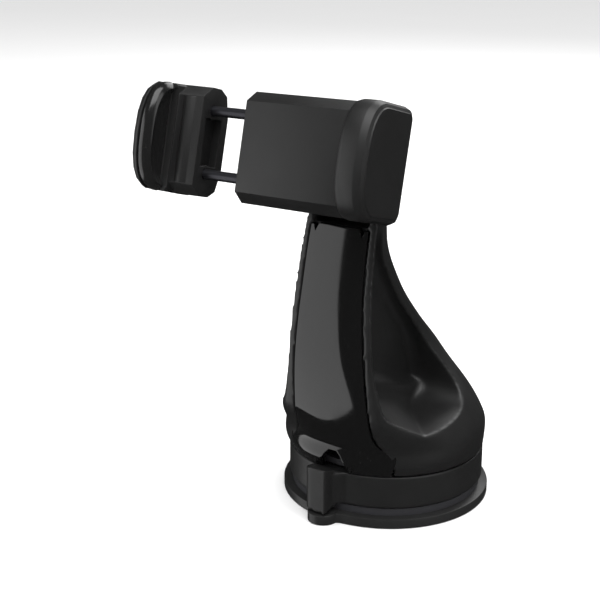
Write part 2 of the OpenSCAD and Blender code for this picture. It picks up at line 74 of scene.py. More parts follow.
FRONT_LINE = (
    (18.6, -35.8), (27, -37.1), (40, -39.6), (58, -41.4), (75, -40.8), (90, -38.6), (105, -35.2),
    (118, -31.2),
)
REAR_LINE = (
    (18.6, 35.8), (25, 35.5), (30, 35.2), (40, 30.8), (55, 19.4), (70, 3.4), (85, -11), (100, -20),
    (118, -19.9),
)
BELLY_LINE = (
    (18.6, 35.8), (25, 36.9), (30, 36.1), (40, 30), (50, 22.4), (60, 16.4), (75, 13.8), (90, 13), (118, 12.7),
)
CAP_LINE = (
    (18.6, 35.8), (25, 36.9), (40, 31.5), (50, 24.4), (60, 13), (75, 8), (90, 5), (118, 4.5),
)
EDGE_LINE = (
    (18.6, 19.3), (26, 21.7), (33, 20.4), (40, 18), (50, 17.4), (60, 16.8), (75, 15.9), (90, 15), (105, 14.1),
    (118, 12.9),
)
SEAM_LINE = (
    (18, 19.2), (26.5, 21.7), (29.9, 17), (33.5, 15.2), (40, 14.8), (50, 14.2), (60, 13.6),
    (72, 12.7), (85, 11.8), (100, 11.3), (112, 10.8),
)
HOLLOW_FRONT = (
    (34.2, -28), (35.2, -33), (38, -35.6), (42, -36.6), (50, -37.4), (58, -38.3), (75, -37.7), (90, -35.5),
    (105, -32.1), (118, -28.1),
)
HOLLOW_REAR = (
    (34.2, -24), (34.8, -17), (36.2, -7.8), (38, -1.5), (41, 2.6), (45, 3.8), (52, 2), (64, -4), (76, -13.9),
    (85, -20.7), (94, -26), (100, -27.2), (118, -26.6),
)
BODY_LOW = 18.9
NECK_TOP = 112.0
TILT_AXIS = Vector((0, -23.664, 125.691))
FACE_CENTRE = Vector((0, -46.9, 131.7))
LEAN = math.radians(14.5)

# shares of half the outline that the front face and the flank take, and the front's crown
FRONT_SHARE = 0.35
FLANK_SHARE = 0.68
CROWN = 1.6
# the round foot turns into the boxed arm between the first pair of heights, and its front
# comes forward to the front line between the second
ROUND_LOW, ROUND_HIGH = 27, 42
LEAD_LOW, LEAD_HEIGHT = 22, 8

# a jaw plate: depth behind and before the clamp's face, half height, and corner and bow shapes
JAW_BACK, JAW_FRONT, JAW_HALF = 16.8, 12.42, 18.93
JAW_CORNER, JAW_CORNER_LEAST = 3.2, 1.2
JAW_BOW = 0.8
JAW_BOW_TURN = 84
JAW_BOW_STEPS = 42


# ---- user settings ----


class MountStandSettings(bpy.types.PropertyGroup):
    cover_thickness: bpy.props.FloatProperty(
        name="Cover thickness",
        description="Wall of the glossy front cover",
        default=0.002,
        min=0.001,
        max=0.004,
        unit="LENGTH",
    )
    moulding_cell: bpy.props.FloatProperty(
        name="Moulding cell",
        description="Cell size that the arm and the ring are fused at before smoothing",
        default=0.00062,
        min=0.0004,
        max=0.002,
        unit="LENGTH",
    )
    rim_softness: bpy.props.IntProperty(
        name="Rim softness",
        description="How many smoothing passes round the arm's rims",
        default=4,
        min=0,
        max=20,
    )


class MountClampSettings(bpy.types.PropertyGroup):
    edge_radius: bpy.props.FloatProperty(
        name="Edge radius",
        description="Radius along the clamp block's edges",
        default=0.0004,
        min=0.0001,
        max=0.001,
        unit="LENGTH",
    )
    jaw_radius: bpy.props.FloatProperty(
        name="Jaw edge radius",
        description="Radius along the jaws' outer edges",
        default=0.0009,
        min=0.0002,
        max=0.002,
        unit="LENGTH",
    )


class MountFinishSettings(bpy.types.PropertyGroup):
    plastic_colour: bpy.props.FloatVectorProperty(
        name="Matte plastic",
        description="Colour of the matte moulded parts",
        subtype="COLOR",
        size=3,
        default=(0.009, 0.009, 0.009),
        min=0,
        max=1,
    )
    gloss_colour: bpy.props.FloatVectorProperty(
        name="Glossy cover",
        description="Colour of the polished front cover",
        subtype="COLOR",
        size=3,
        default=(0.004, 0.004, 0.004),
        min=0,
        max=1,
    )
    gel_colour: bpy.props.FloatVectorProperty(
        name="Gel pad",
        description="Colour of the sticky pad under the foot",
        subtype="COLOR",
        size=3,
        default=(0.014, 0.014, 0.014),
        min=0,
        max=1,
    )
    floor_colour: bpy.props.FloatVectorProperty(
        name="Studio floor",
        description="Colour of the plain floor and surround",
        subtype="COLOR",
        size=3,
        default=(0.9, 0.9, 0.9),
        min=0,
        max=1,
    )


# ---- shape helpers ----


def stretch_of(line, z):
    """The stretch of a height and value list that holds a height."""
    i = 0
    while i < len(line) - 2 and z >= line[i + 1][0]:
        i += 1
    return i


def along(line, z):
    """Smooth curve through a height and value list."""
    i = stretch_of(line, z)

    def rise(a, b):
        return (line[b][1] - line[a][1]) / (line[b][0] - line[a][0])

    def slope(j):
        return rise(max(0, j - 1), min(len(line) - 1, j + 1))

    height = line[i + 1][0] - line[i][0]
    t = max(0.0, min(1.0, (z - line[i][0]) / height))
    return (
        (2 * t**3 - 3 * t**2 + 1) * line[i][1]
        + (t**3 - 2 * t**2 + t) * slope(i) * height
        + (3 * t**2 - 2 * t**3) * line[i + 1][1]
        + (t**3 - t**2) * slope(i + 1) * height
    )


def step(a, b, x):
    t = max(0.0, min(1.0, (x - a) / (b - a)))
    return t * t * (3 - 2 * t)


def lead_of(z, front, centre, belly):
    """How far the round foot's front is moved to meet the front line at a height."""
    return (front - centre + belly) * max(0.0, min(1.0, (z - LEAD_LOW) / LEAD_HEIGHT))


def arm_point(turn, z, inset=0.0):
    """A point of the arm's outline in millimetres; turn runs from the front centre round by the right."""
    side = 1 if turn <= 0.5 else -1
    w = 2 * turn if turn <= 0.5 else 2 * (1 - turn)
    belly = along(BELLY_LINE, z) - inset
    cap = along(CAP_LINE, z) - inset
    centre = along(REAR_LINE, z) - along(CAP_LINE, z)
    edge = along(EDGE_LINE, z) - inset
    front = along(FRONT_LINE, z) + inset
    m = step(ROUND_LOW, ROUND_HIGH, z)
    lead = lead_of(z, front, centre, belly)
    if w <= FRONT_SHARE:
        s = w / FRONT_SHARE
        x = edge * s
        round_y = centre + lead - math.sqrt(max(0, belly**2 - x * x))
        y = m * (front + CROWN * s * s) + (1 - m) * round_y
    elif w <= FLANK_SHARE:
        t = math.pi / 2 * (w - FRONT_SHARE) / 0.33
        start = math.asin(min(0.99, edge / belly))
        a = start + (math.pi / 2 - start) * t / (math.pi / 2)
        x = m * (edge + (belly - edge) * math.sin(t)) + (1 - m) * belly * math.sin(a)
        y = m * (centre - (centre - front - CROWN) * math.cos(t))
        y += (1 - m) * (centre + lead * math.cos(t) - belly * math.cos(a))
    else:
        t = math.pi / 2 * (1 - (w - FLANK_SHARE) / 0.32)
        x = belly * math.sin(t)
        y = centre + cap * math.cos(t)
    return Vector((side * x, y, z))


def front_point(x, z, inset=0.0):
    """A point of the arm's front face at a width and a height, in millimetres."""
    belly = along(BELLY_LINE, z) - inset
    centre = along(REAR_LINE, z) - along(CAP_LINE, z)
    edge = along(EDGE_LINE, z) - inset
    front = along(FRONT_LINE, z) + inset
    m = step(ROUND_LOW, ROUND_HIGH, z)
    round_y = centre + lead_of(z, front, centre, belly) - math.sqrt(max(0, belly**2 - x * x))
    y = m * (front + CROWN * (x / edge) ** 2) + (1 - m) * round_y
    return Vector((x, y, z))


def bent_grid(bm, columns, rows, place):
    """A grid whose crossings are moved to place(column, row), given in millimetres."""
    made = bmesh.ops.create_grid(bm, x_segments=columns, y_segments=rows, size=1)
    for v in made["verts"]:
        i = round((v.co.x + 1) / 2 * columns)
        j = round((v.co.y + 1) / 2 * rows)
        v.co = place(i, j) * MM


def close_skin(bm):
    """Welds a bent grid's seam and caps its open ends."""
    bmesh.ops.remove_doubles(bm, verts=bm.verts, dist=1e-6)
    rims = [e for e in bm.edges if len(e.link_faces) == 1]
    bmesh.ops.holes_fill(bm, edges=rims, sides=0)
    bmesh.ops.recalc_face_normals(bm, faces=bm.faces)


def prism(bm, outline, low, high, axis):
    """A flat outline, in millimetres, drawn out along X or Y from low to high."""
    corners = []
    for a, b in outline:
        at = (low, a, b) if axis == "X" else (a, low, b)
        corners.append(bmesh.ops.create_vert(bm, co=Vector(at) * MM)["vert"][0])
    face = bmesh.ops.contextual_create(bm, geom=corners)["faces"][0]
    drawn = bmesh.ops.extrude_face_region(bm, geom=[face], use_keep_orig=True)
    moved = [g for g in drawn["geom"] if isinstance(g, bmesh.types.BMVert)]
    way = (high - low) * MM
    bmesh.ops.translate(bm, verts=moved, vec=(way, 0, 0) if axis == "X" else (0, way, 0))
    bmesh.ops.recalc_face_normals(bm, faces=bm.faces)


def turned(bm, profile, steps=128):
    """A profile of radius and height pairs, in millimetres, spun once round the Z axis."""
    corners = [bmesh.ops.create_vert(bm, co=Vector((r, 0, z)) * MM)["vert"][0] for r, z in profile]
    edges = [bm.edges.new((corners[i], corners[(i + 1) % len(corners)])) for i in range(len(corners))]
    bmesh.ops.spin(
        bm,
        geom=corners + edges,
        cent=(0, 0, 0),
        axis=(0, 0, 1),
        angle=2 * math.pi,
        steps=steps,
        use_merge=True,
    )
    bmesh.ops.remove_doubles(bm, verts=bm.verts, dist=1e-6)
    bmesh.ops.recalc_face_normals(bm, faces=bm.faces)


def bar(bm, start, end, radius, segments=48):
    """A round bar between two points, in millimetres."""
    a, b = Vector(start), Vector(end)
    turn = (b - a).to_track_quat("Z", "Y").to_matrix().to_4x4()
    bmesh.ops.create_cone(
        bm,
        cap_ends=True,
        segments=segments,
        radius1=radius * MM,
        radius2=radius * MM,
        depth=(b - a).length * MM,
        matrix=Matrix.Translation((a + b) / 2 * MM) @ turn,
    )


def block(bm, low, high):
    """A box between two corners, in millimetres."""
    a, b = Vector(low) * MM, Vector(high) * MM
    size = b - a
    bmesh.ops.create_cube(
        bm, size=1, matrix=Matrix.Translation((a + b) / 2) @ Matrix.Diagonal((size.x, size.y, size.z, 1))
    )


def soften(bm, width, limit=28, segments=3):
    """Rounds every edge that is sharper than a limit in degrees."""
    sharp = [e for e in bm.edges if len(e.link_faces) == 2 and e.calc_face_angle(0) > math.radians(limit)]
    bmesh.ops.bevel(
        bm,
        geom=sharp,
        offset=width,
        offset_type="OFFSET",
        segments=segments,
        profile=0.5,
        affect="EDGES",
        clamp_overlap=True,
        material=-1,
    )


def merged_copy(node):
    """The CAD node's mesh, welded, with its flat faces made whole."""
    bm = bmesh.new()
    bm.from_mesh(frame["nodes"][node].data)
    bmesh.ops.remove_doubles(bm, verts=bm.verts, dist=2e-6)
    bmesh.ops.dissolve_limit(
        bm, angle_limit=math.radians(0.4), verts=bm.verts, edges=bm.edges, use_dissolve_boundaries=False
    )
    return bm


def loose_object(name, bm):
    mesh = bpy.data.meshes.new(name)
    bm.to_mesh(mesh)
    bm.free()
    made = bpy.data.objects.new(name, mesh)
    bpy.context.scene.collection.objects.link(made)
    return made


def applied(obj):
    """Replaces an object's mesh by what its modifiers make of it."""
    graph = bpy.context.evaluated_depsgraph_get()
    graph.update()
    mesh = bpy.data.meshes.new_from_object(obj.evaluated_get(graph))
    obj.modifiers.clear()
    obj.data = mesh
    return obj


def cut(obj, bm):
    """Cuts a closed shape out of an object."""
    cutter = loose_object("cutter", bm)
    boolean = obj.modifiers.new("cut", "BOOLEAN")
    boolean.operation = "DIFFERENCE"
    boolean.solver = "EXACT"
    boolean.object = cutter
    applied(obj)
    bpy.data.objects.remove(cutter)


def fused(obj, cell, passes):
    """Fuses overlapping shells at a cell size, then smooths the rims."""
    remesh = obj.modifiers.new("fuse", "REMESH")
    remesh.mode = "VOXEL"
    remesh.voxel_size = cell
    applied(obj)
    smooth = obj.modifiers.new("smooth", "SMOOTH")
    smooth.factor = 0.5
    smooth.iterations = passes
    applied(obj)


def finish_piece(obj, body, material, nodes, sharp=None):
    """Smooth shading, finish, body and the CAD nodes that the piece stands for."""
    mesh = obj.data
    mesh.polygons.foreach_set("use_smooth", [True] * len(mesh.polygons))
    if sharp is not None:
        mesh.set_sharp_from_angle(angle=math.radians(sharp))
    mesh.materials.clear()
    mesh.materials.append(material)
    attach(obj, body)
    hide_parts(*nodes)
    return obj


# ---- shader groups and finishes ----


def group(name, outputs, inputs=()):
    """An empty shader group with the given outputs and inputs, and its nodes and end."""
    tree = bpy.data.node_groups.new(name, "ShaderNodeTree")
    for label, kind in outputs:
        tree.interface.new_socket(name=label, in_out="OUTPUT", socket_type=kind)
    for label, kind, value in inputs:
        made = tree.interface.new_socket(name=label, in_out="INPUT", socket_type=kind)
        made.default_value = value
    return tree, tree.nodes.new("NodeGroupInput"), tree.nodes.new("NodeGroupOutput")


def add(tree, kind, **settings):
    node = tree.nodes.new(kind)
    for key, value in settings.items():
        if key in node.inputs:
            node.inputs[key].default_value = value
        else:
            setattr(node, key, value)
    return node


def noise(tree, where, scale, detail=2.0, roughness=0.5):
    node = tree.nodes.new("ShaderNodeTexNoise")
    node.inputs["Scale"].default_value = scale
    node.inputs["Detail"].default_value = detail
    node.inputs["Roughness"].default_value = roughness
    tree.links.new(where, node.inputs["Vector"])
    return node


def span(tree, value, low, high, to_low, to_high):
    node = tree.nodes.new("ShaderNodeMapRange")
    node.inputs["From Min"].default_value = low
    node.inputs["From Max"].default_value = high
    node.inputs["To Min"].default_value = to_low
    node.inputs["To Max"].default_value = to_high
    tree.links.new(value, node.inputs["Value"])
    return node.outputs["Result"]


def spark_grain_group():
    """Fine spark-eroded grain of a moulded surface: a height and a slow patchiness."""
    tree, _, end = group("spark_grain", [("Height", "NodeSocketFloat"), ("Patches", "NodeSocketFloat")])
    where = add(tree, "ShaderNodeTexCoord").outputs["Object"]
    fine = noise(tree, where, 3800, 3, 0.6)
    coarse = noise(tree, where, 1300, 2)
    both = add(tree, "ShaderNodeMath", operation="ADD")
    tree.links.new(fine.outputs["Fac"], both.inputs[0])
    tree.links.new(coarse.outputs["Fac"], both.inputs[1])
    tree.links.new(both.outputs[0], end.inputs["Height"])
    tree.links.new(noise(tree, where, 55, 4, 0.6).outputs["Fac"], end.inputs["Patches"])
    return tree


def handling_group():
    """Faint smears and specks that show in a gloss: both as values from 0 to 1."""
    tree, _, end = group("handling", [("Smears", "NodeSocketFloat"), ("Specks", "NodeSocketFloat")])
    where = add(tree, "ShaderNodeTexCoord").outputs["Object"]
    stretch = add(tree, "ShaderNodeMapping")
    stretch.inputs["Scale"].default_value = (1.6, 1.0, 0.35)
    tree.links.new(where, stretch.inputs["Vector"])
    smears = noise(tree, stretch.outputs["Vector"], 90, 5, 0.62)
    tree.links.new(span(tree, smears.outputs["Fac"], 0.42, 0.75, 0, 1), end.inputs["Smears"])
    specks = add(tree, "ShaderNodeTexVoronoi")
    specks.inputs["Scale"].default_value = 420
    tree.links.new(where, specks.inputs["Vector"])
    tree.links.new(span(tree, specks.outputs["Distance"], 0.09, 0.04, 0, 1), end.inputs["Specks"])
    return tree


def drawn_metal_group():
    """Fine lines round a drawn or turned metal bar."""
    tree, _, end = group("drawn_metal", [("Lines", "NodeSocketFloat"), ("Tint", "NodeSocketFloat")])
    where = add(tree, "ShaderNodeTexCoord").outputs["Object"]
    stretch = add(tree, "ShaderNodeMapping")
    stretch.inputs["Scale"].default_value = (0.05, 1, 1)
    tree.links.new(where, stretch.inputs["Vector"])
    tree.links.new(noise(tree, stretch.outputs["Vector"], 9000, 2).outputs["Fac"], end.inputs["Lines"])
    tree.links.new(noise(tree, where, 180, 3).outputs["Fac"], end.inputs["Tint"])
    return tree


def new_finish(name):
    material = bpy.data.materials.new(name)
    material.use_nodes = True
    tree = material.node_tree
    return material, tree, tree.nodes["Principled BSDF"]


def use_group(tree, name):
    node = tree.nodes.new("ShaderNodeGroup")
    node.node_tree = bpy.data.node_groups[name]
    return node


def link_bump(tree, height, shader, strength, distance):
    bump = tree.nodes.new("ShaderNodeBump")
    bump.inputs["Strength"].default_value = strength
    bump.inputs["Distance"].default_value = distance
    tree.links.new(height, bump.inputs["Height"])
    tree.links.new(bump.outputs["Normal"], shader.inputs["Normal"])


def shaded(tree, value, shader, dark, light):
    """Base colour that drifts between two shades with a value."""
    mix = tree.nodes.new("ShaderNodeMix")
    mix.data_type = "RGBA"
    mix.inputs["A"].default_value = (*dark, 1)
    mix.inputs["B"].default_value = (*light, 1)
    tree.links.new(value, mix.inputs["Factor"])
    tree.links.new(mix.outputs["Result"], shader.inputs["Base Color"])


def moulded_plastic(name, colour, rough_low, rough_high, specular=0.5, bump=0.22):
    """Moulded plastic with a fine spark grain and slightly uneven sheen."""
    material, tree, shader = new_finish(name)
    grain = use_group(tree, "spark_grain")
    dark = [c * 0.8 for c in colour]
    light = [c * 1.2 for c in colour]
    shaded(tree, grain.outputs["Patches"], shader, dark, light)
    sheen = span(tree, grain.outputs["Patches"], 0.3, 0.7, rough_low, rough_high)
    tree.links.new(sheen, shader.inputs["Roughness"])
    shader.inputs["Specular IOR Level"].default_value = specular
    link_bump(tree, grain.outputs["Height"], shader, bump, 0.00003)
    return material


def polished_plastic(name, colour, rough=0.05):
    """Polished plastic that shows faint smears and specks of dust."""
    material, tree, shader = new_finish(name)
    marks = use_group(tree, "handling")
    shaded(tree, marks.outputs["Specks"], shader, colour, [c * 3 + 0.01 for c in colour])
    tree.links.new(span(tree, marks.outputs["Smears"], 0, 1, rough, rough + 0.07), shader.inputs["Roughness"])
    link_bump(tree, marks.outputs["Specks"], shader, 0.05, 0.00002)
    return material


def metal(name, colour, rough_low, rough_high):
    """Drawn or turned metal with fine lines."""
    material, tree, shader = new_finish(name)
    lines = use_group(tree, "drawn_metal")
    shaded(tree, lines.outputs["Tint"], shader, [c * 0.85 for c in colour], [c * 1.12 for c in colour])
    sheen = span(tree, lines.outputs["Lines"], 0.3, 0.7, rough_low, rough_high)
    tree.links.new(sheen, shader.inputs["Roughness"])
    shader.inputs["Metallic"].default_value = 1
    link_bump(tree, lines.outputs["Lines"], shader, 0.15, 0.00001)
    return material


def gel(name, colour):
    """Soft, slightly tacky gel: satin and a little uneven."""
    material, tree, shader = new_finish(name)
    grain = use_group(tree, "spark_grain")
    shaded(tree, grain.outputs["Patches"], shader, [c * 0.75 for c in colour], [c * 1.3 for c in colour])
    tree.links.new(span(tree, grain.outputs["Patches"], 0.3, 0.7, 0.3, 0.45), shader.inputs["Roughness"])
    shader.inputs["Specular IOR Level"].default_value = 0.3
    link_bump(tree, grain.outputs["Patches"], shader, 0.12, 0.0002)
    return material


# ---- operators ----


class MOUNT_OT_finishes(bpy.types.Operator):
    """Makes the shader groups and every finish, and gives the CAD nodes theirs"""

    bl_idname = "mount.finishes"
    bl_label = "Make Finishes"

    def execute(self, context):
        colours = context.scene.mount_finish
        spark_grain_group()
        handling_group()
        drawn_metal_group()
        matte = list(colours.plastic_colour)
        moulded_plastic("matte_plastic", matte, 0.42, 0.52)
        moulded_plastic("arm_plastic", matte, 0.36, 0.46)
        # a darker copy of the matte plastic for the jaw's outer face: painted shade for a face turned away
        # from the lamps
        moulded_plastic("jaw_face_painted_shade", [c * 0.6 for c in matte], 0.34, 0.42)
        moulded_plastic("slide_plastic", [c * 0.8 for c in matte], 0.3, 0.4)
        moulded_plastic("soft_pad", [c * 0.55 for c in matte], 0.5, 0.62, 0.4, 0.3)
        polished_plastic("polished_cover", list(colours.gloss_colour))
        polished_plastic("polished_lip", [c * 2 for c in colours.gloss_colour], 0.16)
        gel("sticky_gel", list(colours.gel_colour))
        metal("blacked_steel", (0.045, 0.045, 0.045), 0.28, 0.4)
        metal("bright_steel", (0.55, 0.55, 0.56), 0.22, 0.34)
        metal("spring_wire", (0.42, 0.42, 0.43), 0.24, 0.36)
        by_slot = {
            "gel": "sticky_gel",
            "matte_black": "matte_plastic",
            "gloss_black": "polished_cover",
            "soft_lip": "soft_pad",
            "slide_plastic": "slide_plastic",
            "dark_steel": "blacked_steel",
            "steel": "bright_steel",
            "spring_steel": "spring_wire",
        }
        for entry in frame["record"]["materials"]:
            for node in entry.get("nodes", []):
                cad = frame["nodes"].get(node)
                if cad is not None:
                    cad.data.materials.clear()
                    cad.data.materials.append(bpy.data.materials[by_slot[entry["slot"]]])
        return {"FINISHED"}


def arm_cutters():
    """Everything that is taken out of the arm's solid form."""
    sides = []
    for side in (1, -1):
        bm = bmesh.new()
        rows = 110

        def floor_of(y, z):
            """How far out the hollow's floor lies, with a soft slanting ridge across it."""
            ridge = 50.5 + 0.36 * (-19 - y)
            below = ridge - z
            dish = 0.1 * max(0.0, below - 5) ** 2
            return 8.4 + 3.5 * step(-1.5, 2.5, below) + dish + 0.42 * max(0.0, z - 99)

        def hollow(i, j, side=side):
            t = j / rows
            z = 34.2 + (114 - 34.2) * (0.35 * t + 0.65 * t**2.2)
            f, r = along(HOLLOW_FRONT, z), along(HOLLOW_REAR, z)
            wide = r - f
            s = i / 48
            corner = min(3.2, wide / 2.6)
            y = f + wide * s
            near = min(y - f, r - y)
            round_up = 0.0
            if near < corner:
                k = 1 - near / corner
                round_up = corner * (1 - math.sqrt(max(0.0, 1 - k * k)))
            x = floor_of(y, z) + round_up
            return Vector((side * x, y, z))

        bent_grid(bm, 48, rows, hollow)
        rims = [e for e in bm.edges if len(e.link_faces) == 1]
        drawn = bmesh.ops.extrude_edge_only(bm, edges=rims)
        for v in drawn["geom"]:
            if isinstance(v, bmesh.types.BMVert):
                v.co.x = side * 48 * MM
        rims = [e for e in bm.edges if len(e.link_faces) == 1]
        bmesh.ops.holes_fill(bm, edges=rims, sides=0)
        bmesh.ops.recalc_face_normals(bm, faces=bm.faces)
        sides.append(bm)
    return sides


def arm_solid(name, inset):
    """The arm's smooth form as one closed skin."""
    bm = bmesh.new()
    columns, rows = 144, 120

    def skin(i, j):
        z = BODY_LOW + (NECK_TOP - BODY_LOW) * (j / rows) ** 1.15
        return arm_point(i / columns, z, inset)

    bent_grid(bm, columns, rows, skin)
    close_skin(bm)
    return loose_object(name, bm)


class MOUNT_OT_arm(bpy.types.Operator):
    """Models the arm's frame with its side hollows, foot, slot and seat for the cover"""

    bl_idname = "mount.arm"
    bl_label = "Build Arm"

    def execute(self, context):
        stand = context.scene.mount_stand
        thickness = stand.cover_thickness / MM
        arm = arm_solid("arm", 0)
        for bm in arm_cutters():
            cut(arm, bm)
        # seat for the cover
        seat_bm = bmesh.new()
        heights = [18 + k * (106.1 - 18) / 70 for k in range(71)]
        right = [(along(SEAM_LINE, z) + 0.3, z) for z in heights]
        outline = right + [(-x, z) for x, z in reversed(right)]
        prism(seat_bm, outline, -60, -27, "Y")
        seat = loose_object("seat", seat_bm)
        core = arm_solid("core", thickness + 0.15)
        boolean = seat.modifiers.new("cut", "BOOLEAN")
        boolean.operation = "DIFFERENCE"
        boolean.solver = "EXACT"
        boolean.object = core
        applied(seat)
        back_bm = bmesh.new()
        prism(
            back_bm,
            [(-27, 17), (-27, 28), (-34, 50), (-35, 62), (-33, 90), (-28.6, 112), (0, 112), (0, 17)],
            -40,
            40,
            "X",
        )
        cut(seat, back_bm)
        bpy.data.objects.remove(core)
        seat_bm = bmesh.new()
        seat_bm.from_mesh(seat.data)
        bpy.data.objects.remove(seat)
        cut(arm, seat_bm)
        # ears round the tilt pin
        ears_bm = bmesh.new()
        neck = [arm_point(k / 72, 110, 0.02) * MM for k in range(72)]
        for co in neck:
            bmesh.ops.create_vert(ears_bm, co=co)
        for side in (-1, 1):
            for k in range(48):
                a = 2 * math.pi * k / 48
                co = TILT_AXIS + Vector((side * 12.9, 7.5 * math.cos(a), 7.5 * math.sin(a)))
                bmesh.ops.create_vert(ears_bm, co=co * MM)
        hull = bmesh.ops.convex_hull(ears_bm, input=ears_bm.verts)
        stray = [g for g in hull["geom_interior"] if isinstance(g, bmesh.types.BMVert)]
        bmesh.ops.delete(ears_bm, geom=stray, context="VERTS")
        bmesh.ops.recalc_face_normals(ears_bm, faces=ears_bm.faces)
        ears = loose_object("ears", ears_bm)
        union = arm.modifiers.new("join", "BOOLEAN")
        union.operation = "UNION"
        union.solver = "EXACT"
        union.object = ears
        applied(arm)
        bpy.data.objects.remove(ears)
        # slot for the tilt barrel
        slot_bm = bmesh.new()
        block(slot_bm, (-10.6, -67, 106.5), (10.6, TILT_AXIS.y, 170))
        cut(arm, slot_bm)
        swing_bm = bmesh.new()
        bar(swing_bm, (-10.6, TILT_AXIS.y, TILT_AXIS.z), (10.6, TILT_AXIS.y, TILT_AXIS.z), 7.1)
        cut(arm, swing_bm)
        back_bm = bmesh.new()
        block(back_bm, (-10.6, TILT_AXIS.y - 0.1, TILT_AXIS.z), (10.6, 10, 170))
        cut(arm, back_bm)
        arch_bm = bmesh.new()
        prism(arch_bm, ARCH_OUTLINE, -60, -31, "Y")
        cut(arm, arch_bm)
        foot_bm = bmesh.new()
        inside = [(0.001, 17), (33.3, 17), (33.3, 25.4), (28, 29.5), (17, 33), (8, 37), (0.001, 38)]
        turned(foot_bm, inside, 96)
        cut(arm, foot_bm)
        pin_bm = bmesh.new()
        bar(pin_bm, (-20, TILT_AXIS.y, TILT_AXIS.z), (20, TILT_AXIS.y, TILT_AXIS.z), 3.7)
        cut(arm, pin_bm)
        fused(arm, stand.moulding_cell, stand.rim_softness)
        finish_piece(arm, "stand", bpy.data.materials["arm_plastic"], ["arm_frame"])
        return {"FINISHED"}


ARCH_OUTLINE = (
    (-5.3, 18), (-5.3, 20.5), (-4.6, 23), (-3.2, 25.4), (-1.5, 27), (1.5, 27), (3.2, 25.4),
    (4.6, 23), (5.3, 20.5), (5.3, 18),
)


class MOUNT_OT_cover(bpy.types.Operator):
    """Models the polished front cover with its arch and the notched slot edge"""

    bl_idname = "mount.cover"
    bl_label = "Build Front Cover"

    def execute(self, context):
        thickness = context.scene.mount_stand.cover_thickness / MM
        arch = [(20.5, 5.3), (23, 4.6), (25.4, 3.2), (27, 1.5)]
        notch = [(0, 106.3), (0.70, 106.3), (0.715, 106.0), (0.815, 103.5), (0.885, 104.9)]
        notch += [(0.9, 105.7), (1, 105.7)]
        spread = [0, 0.04, 0.1, 0.2, 0.3, 0.4, 0.5, 0.6, 0.66, 0.695, 0.70, 0.715, 0.76, 0.815, 0.85]
        spread += [0.885, 0.9, 0.94, 0.975, 1]
        rows_low = [18.95, 19.4, 20, 20.5, 21.4, 22.2, 23, 23.8, 24.6, 25.4, 26.2, 26.7, 26.99, 27.01]
        rows_low += [27.4, 28.2, 29, 30, 31, 32, 33, 34, 35, 36, 37, 38, 39, 40, 41, 42]
        upper = 56

        def straight(pairs, x):
            for (x0, y0), (x1, y1) in zip(pairs, pairs[1:]):
                if x <= x1:
                    return y0 + (y1 - y0) * (x - x0) / (x1 - x0)
            return pairs[-1][1]

        def opening(z):
            if z >= 27:
                return 0.0
            return 5.3 if z <= 20.5 else straight(arch, z)

        shells = []
        for inset in (0.0, thickness):
            bm = bmesh.new()
            for side in (1, -1):

                def place(i, j, side=side, inset=inset):
                    s = spread[i]
                    if j < len(rows_low):
                        z = rows_low[j]
                    else:
                        t = (j - len(rows_low) + 1) / upper
                        z = 42 + (straight(notch, s) - 42) * t
                    gap = opening(z)
                    edge = along(SEAM_LINE, z) - 0.1
                    return front_point(side * (gap + s * (edge - gap)), z, inset)

                bent_grid(bm, len(spread) - 1, len(rows_low) - 1 + upper, place)
            bmesh.ops.remove_doubles(bm, verts=bm.verts, dist=2e-6)
            shells.append(bm)
        outer, inner = shells
        inner_mesh = bpy.data.meshes.new("inner")
        inner.to_mesh(inner_mesh)
        inner.free()
        outer.from_mesh(inner_mesh)
        bpy.data.meshes.remove(inner_mesh)
        rims = [e for e in outer.edges if len(e.link_faces) == 1]
        bmesh.ops.bridge_loops(outer, edges=rims)
        bmesh.ops.recalc_face_normals(outer, faces=outer.faces)
        soften(outer, 0.0003, 50, 3)
        cover = loose_object("front_cover_shell", outer)
        finish_piece(cover, "stand", bpy.data.materials["polished_cover"], ["front_cover"], 40)
        return {"FINISHED"}


